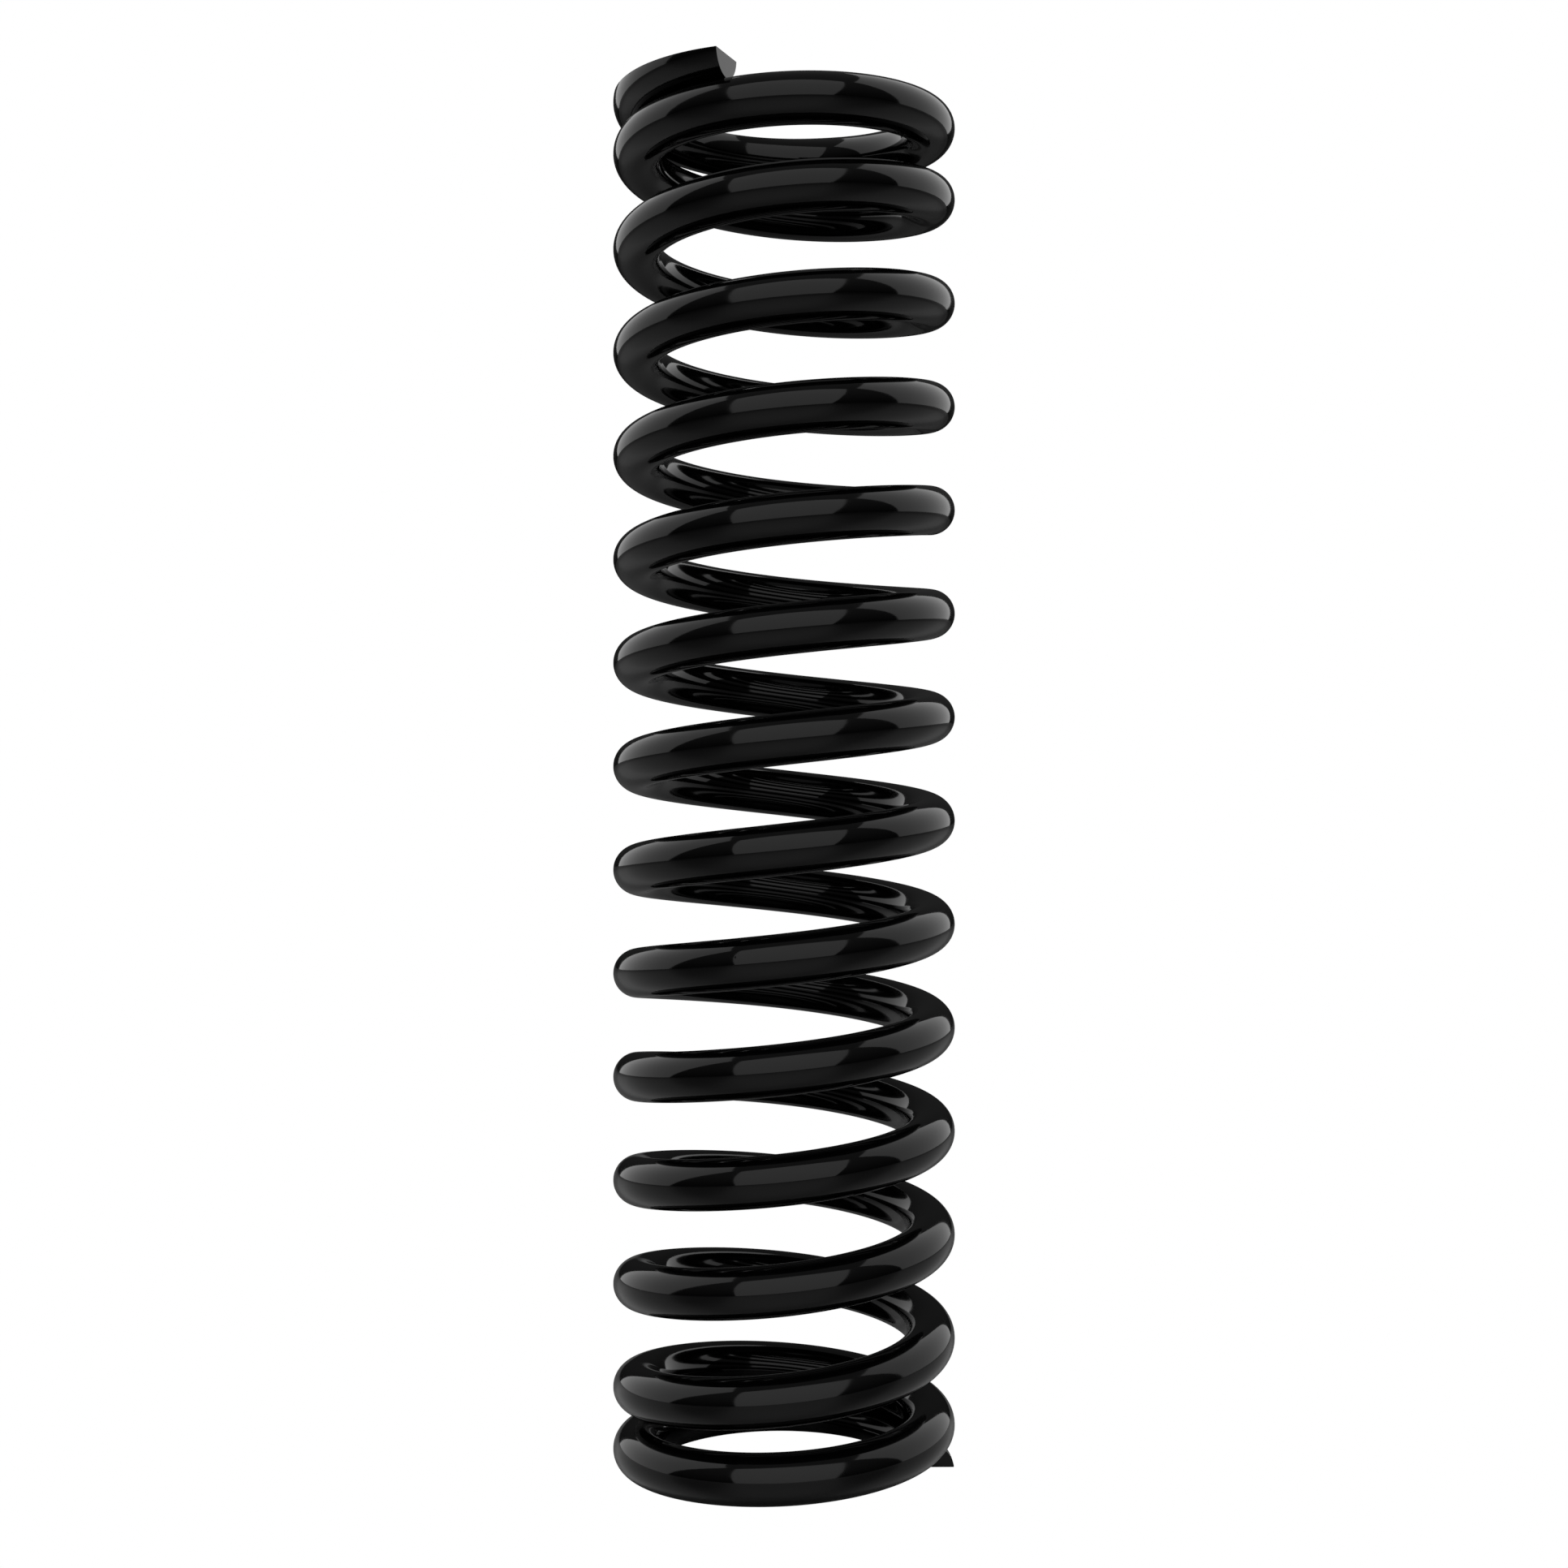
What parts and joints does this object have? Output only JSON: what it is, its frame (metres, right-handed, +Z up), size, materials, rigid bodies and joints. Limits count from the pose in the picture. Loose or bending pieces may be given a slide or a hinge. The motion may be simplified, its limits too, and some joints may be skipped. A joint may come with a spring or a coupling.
{
  "type": "coil spring",
  "caption": "Cylindrical compression coil spring of round wire for a coil-over damper, with closed and ground ends, gloss black; it compresses as one slide.",
  "frame": {"origin": "middle of the bottom ground seat, on the coil's axis", "axes": "+Z up along the coil's axis; the wire's bottom tip is at +X and the wire climbs anticlockwise seen from above, so the front of the spring is at -Y"},
  "size_m": [0.0888, 0.0888, 0.3572],
  "materials": {
    "coated_wire": "gloss"
  },
  "bodies": {
    "bottom_end_coil": {"bottom_end_coil_back_half": "coated_wire", "bottom_end_coil_front_half": "coated_wire", "coil_01_back_half": "coated_wire"},
    "top_end_coil": {"top_end_coil_front_half": "coated_wire", "top_end_coil_back_half": "coated_wire", "top_end_coil_tip": "coated_wire"},
    "coil_01_front_half": {"coil_01_front_half": "coated_wire"},
    "coil_02_back_half": {"coil_02_back_half": "coated_wire"},
    "coil_02_front_half": {"coil_02_front_half": "coated_wire"},
    "coil_03_back_half": {"coil_03_back_half": "coated_wire"},
    "coil_03_front_half": {"coil_03_front_half": "coated_wire"},
    "coil_04_back_half": {"coil_04_back_half": "coated_wire"},
    "coil_04_front_half": {"coil_04_front_half": "coated_wire"},
    "coil_05_back_half": {"coil_05_back_half": "coated_wire"},
    "coil_05_front_half": {"coil_05_front_half": "coated_wire"},
    "coil_06_back_half": {"coil_06_back_half": "coated_wire"},
    "coil_06_front_half": {"coil_06_front_half": "coated_wire"},
    "coil_07_back_half": {"coil_07_back_half": "coated_wire"},
    "coil_07_front_half": {"coil_07_front_half": "coated_wire"},
    "coil_08_back_half": {"coil_08_back_half": "coated_wire"},
    "coil_08_front_half": {"coil_08_front_half": "coated_wire"},
    "coil_09_back_half": {"coil_09_back_half": "coated_wire"},
    "coil_09_front_half": {"coil_09_front_half": "coated_wire"},
    "coil_10_back_half": {"coil_10_back_half": "coated_wire"},
    "coil_10_front_half": {"coil_10_front_half": "coated_wire"},
    "coil_11_back_half": {"coil_11_back_half": "coated_wire"},
    "coil_11_front_half": {"coil_11_front_half": "coated_wire"},
    "coil_12_back_half": {"coil_12_back_half": "coated_wire"},
    "coil_12_front_half": {"coil_12_front_half": "coated_wire"},
    "coil_13_back_half": {"coil_13_back_half": "coated_wire"}
  },
  "joints": [
    {"name": "compress", "type": "slide", "parent": "bottom_end_coil", "child": "top_end_coil", "axis": [0, 0, -1], "range_m": [0, 0.15], "stiffness_N_per_m": 45900},
    {"name": "coil_01_front_half_drop", "type": "slide", "parent": "bottom_end_coil", "child": "coil_01_front_half", "axis": [0, 0, -1], "range_m": [0, 0.0031]},
    {"name": "coil_02_back_half_drop", "type": "slide", "parent": "bottom_end_coil", "child": "coil_02_back_half", "axis": [0, 0, -1], "range_m": [0, 0.0095]},
    {"name": "coil_02_front_half_drop", "type": "slide", "parent": "bottom_end_coil", "child": "coil_02_front_half", "axis": [0, 0, -1], "range_m": [0, 0.0159]},
    {"name": "coil_03_back_half_drop", "type": "slide", "parent": "bottom_end_coil", "child": "coil_03_back_half", "axis": [0, 0, -1], "range_m": [0, 0.0224]},
    {"name": "coil_03_front_half_drop", "type": "slide", "parent": "bottom_end_coil", "child": "coil_03_front_half", "axis": [0, 0, -1], "range_m": [0, 0.0289]},
    {"name": "coil_04_back_half_drop", "type": "slide", "parent": "bottom_end_coil", "child": "coil_04_back_half", "axis": [0, 0, -1], "range_m": [0, 0.0354]},
    {"name": "coil_04_front_half_drop", "type": "slide", "parent": "bottom_end_coil", "child": "coil_04_front_half", "axis": [0, 0, -1], "range_m": [0, 0.0418]},
    {"name": "coil_05_back_half_drop", "type": "slide", "parent": "bottom_end_coil", "child": "coil_05_back_half", "axis": [0, 0, -1], "range_m": [0, 0.0483]},
    {"name": "coil_05_front_half_drop", "type": "slide", "parent": "bottom_end_coil", "child": "coil_05_front_half", "axis": [0, 0, -1], "range_m": [0, 0.0548]},
    {"name": "coil_06_back_half_drop", "type": "slide", "parent": "bottom_end_coil", "child": "coil_06_back_half", "axis": [0, 0, -1], "range_m": [0, 0.0613]},
    {"name": "coil_06_front_half_drop", "type": "slide", "parent": "bottom_end_coil", "child": "coil_06_front_half", "axis": [0, 0, -1], "range_m": [0, 0.0677]},
    {"name": "coil_07_back_half_drop", "type": "slide", "parent": "bottom_end_coil", "child": "coil_07_back_half", "axis": [0, 0, -1], "range_m": [0, 0.0742]},
    {"name": "coil_07_front_half_drop", "type": "slide", "parent": "bottom_end_coil", "child": "coil_07_front_half", "axis": [0, 0, -1], "range_m": [0, 0.0807]},
    {"name": "coil_08_back_half_drop", "type": "slide", "parent": "bottom_end_coil", "child": "coil_08_back_half", "axis": [0, 0, -1], "range_m": [0, 0.0872]},
    {"name": "coil_08_front_half_drop", "type": "slide", "parent": "bottom_end_coil", "child": "coil_08_front_half", "axis": [0, 0, -1], "range_m": [0, 0.0936]},
    {"name": "coil_09_back_half_drop", "type": "slide", "parent": "bottom_end_coil", "child": "coil_09_back_half", "axis": [0, 0, -1], "range_m": [0, 0.1001]},
    {"name": "coil_09_front_half_drop", "type": "slide", "parent": "bottom_end_coil", "child": "coil_09_front_half", "axis": [0, 0, -1], "range_m": [0, 0.1066]},
    {"name": "coil_10_back_half_drop", "type": "slide", "parent": "bottom_end_coil", "child": "coil_10_back_half", "axis": [0, 0, -1], "range_m": [0, 0.113]},
    {"name": "coil_10_front_half_drop", "type": "slide", "parent": "bottom_end_coil", "child": "coil_10_front_half", "axis": [0, 0, -1], "range_m": [0, 0.1195]},
    {"name": "coil_11_back_half_drop", "type": "slide", "parent": "bottom_end_coil", "child": "coil_11_back_half", "axis": [0, 0, -1], "range_m": [0, 0.126]},
    {"name": "coil_11_front_half_drop", "type": "slide", "parent": "bottom_end_coil", "child": "coil_11_front_half", "axis": [0, 0, -1], "range_m": [0, 0.1325]},
    {"name": "coil_12_back_half_drop", "type": "slide", "parent": "bottom_end_coil", "child": "coil_12_back_half", "axis": [0, 0, -1], "range_m": [0, 0.1389]},
    {"name": "coil_12_front_half_drop", "type": "slide", "parent": "bottom_end_coil", "child": "coil_12_front_half", "axis": [0, 0, -1], "range_m": [0, 0.1454]},
    {"name": "coil_13_back_half_drop", "type": "slide", "parent": "bottom_end_coil", "child": "coil_13_back_half", "axis": [0, 0, -1], "range_m": [0, 0.1501]}
  ],
  "couplings": [
    {"joint": "coil_01_front_half_drop", "follows": "compress", "ratio": 0.01724},
    {"joint": "coil_02_back_half_drop", "follows": "compress", "ratio": 0.05971},
    {"joint": "coil_02_front_half_drop", "follows": "compress", "ratio": 0.10287},
    {"joint": "coil_03_back_half_drop", "follows": "compress", "ratio": 0.14604},
    {"joint": "coil_03_front_half_drop", "follows": "compress", "ratio": 0.1892},
    {"joint": "coil_04_back_half_drop", "follows": "compress", "ratio": 0.23236},
    {"joint": "coil_04_front_half_drop", "follows": "compress", "ratio": 0.27553},
    {"joint": "coil_05_back_half_drop", "follows": "compress", "ratio": 0.31869},
    {"joint": "coil_05_front_half_drop", "follows": "compress", "ratio": 0.36185},
    {"joint": "coil_06_back_half_drop", "follows": "compress", "ratio": 0.40502},
    {"joint": "coil_06_front_half_drop", "follows": "compress", "ratio": 0.44818},
    {"joint": "coil_07_back_half_drop", "follows": "compress", "ratio": 0.49134},
    {"joint": "coil_07_front_half_drop", "follows": "compress", "ratio": 0.53451},
    {"joint": "coil_08_back_half_drop", "follows": "compress", "ratio": 0.57767},
    {"joint": "coil_08_front_half_drop", "follows": "compress", "ratio": 0.62084},
    {"joint": "coil_09_back_half_drop", "follows": "compress", "ratio": 0.664},
    {"joint": "coil_09_front_half_drop", "follows": "compress", "ratio": 0.70716},
    {"joint": "coil_10_back_half_drop", "follows": "compress", "ratio": 0.75033},
    {"joint": "coil_10_front_half_drop", "follows": "compress", "ratio": 0.79349},
    {"joint": "coil_11_back_half_drop", "follows": "compress", "ratio": 0.83665},
    {"joint": "coil_11_front_half_drop", "follows": "compress", "ratio": 0.87982},
    {"joint": "coil_12_back_half_drop", "follows": "compress", "ratio": 0.92298},
    {"joint": "coil_12_front_half_drop", "follows": "compress", "ratio": 0.96614},
    {"joint": "coil_13_back_half_drop", "follows": "compress", "ratio": 0.99758}
  ]
}
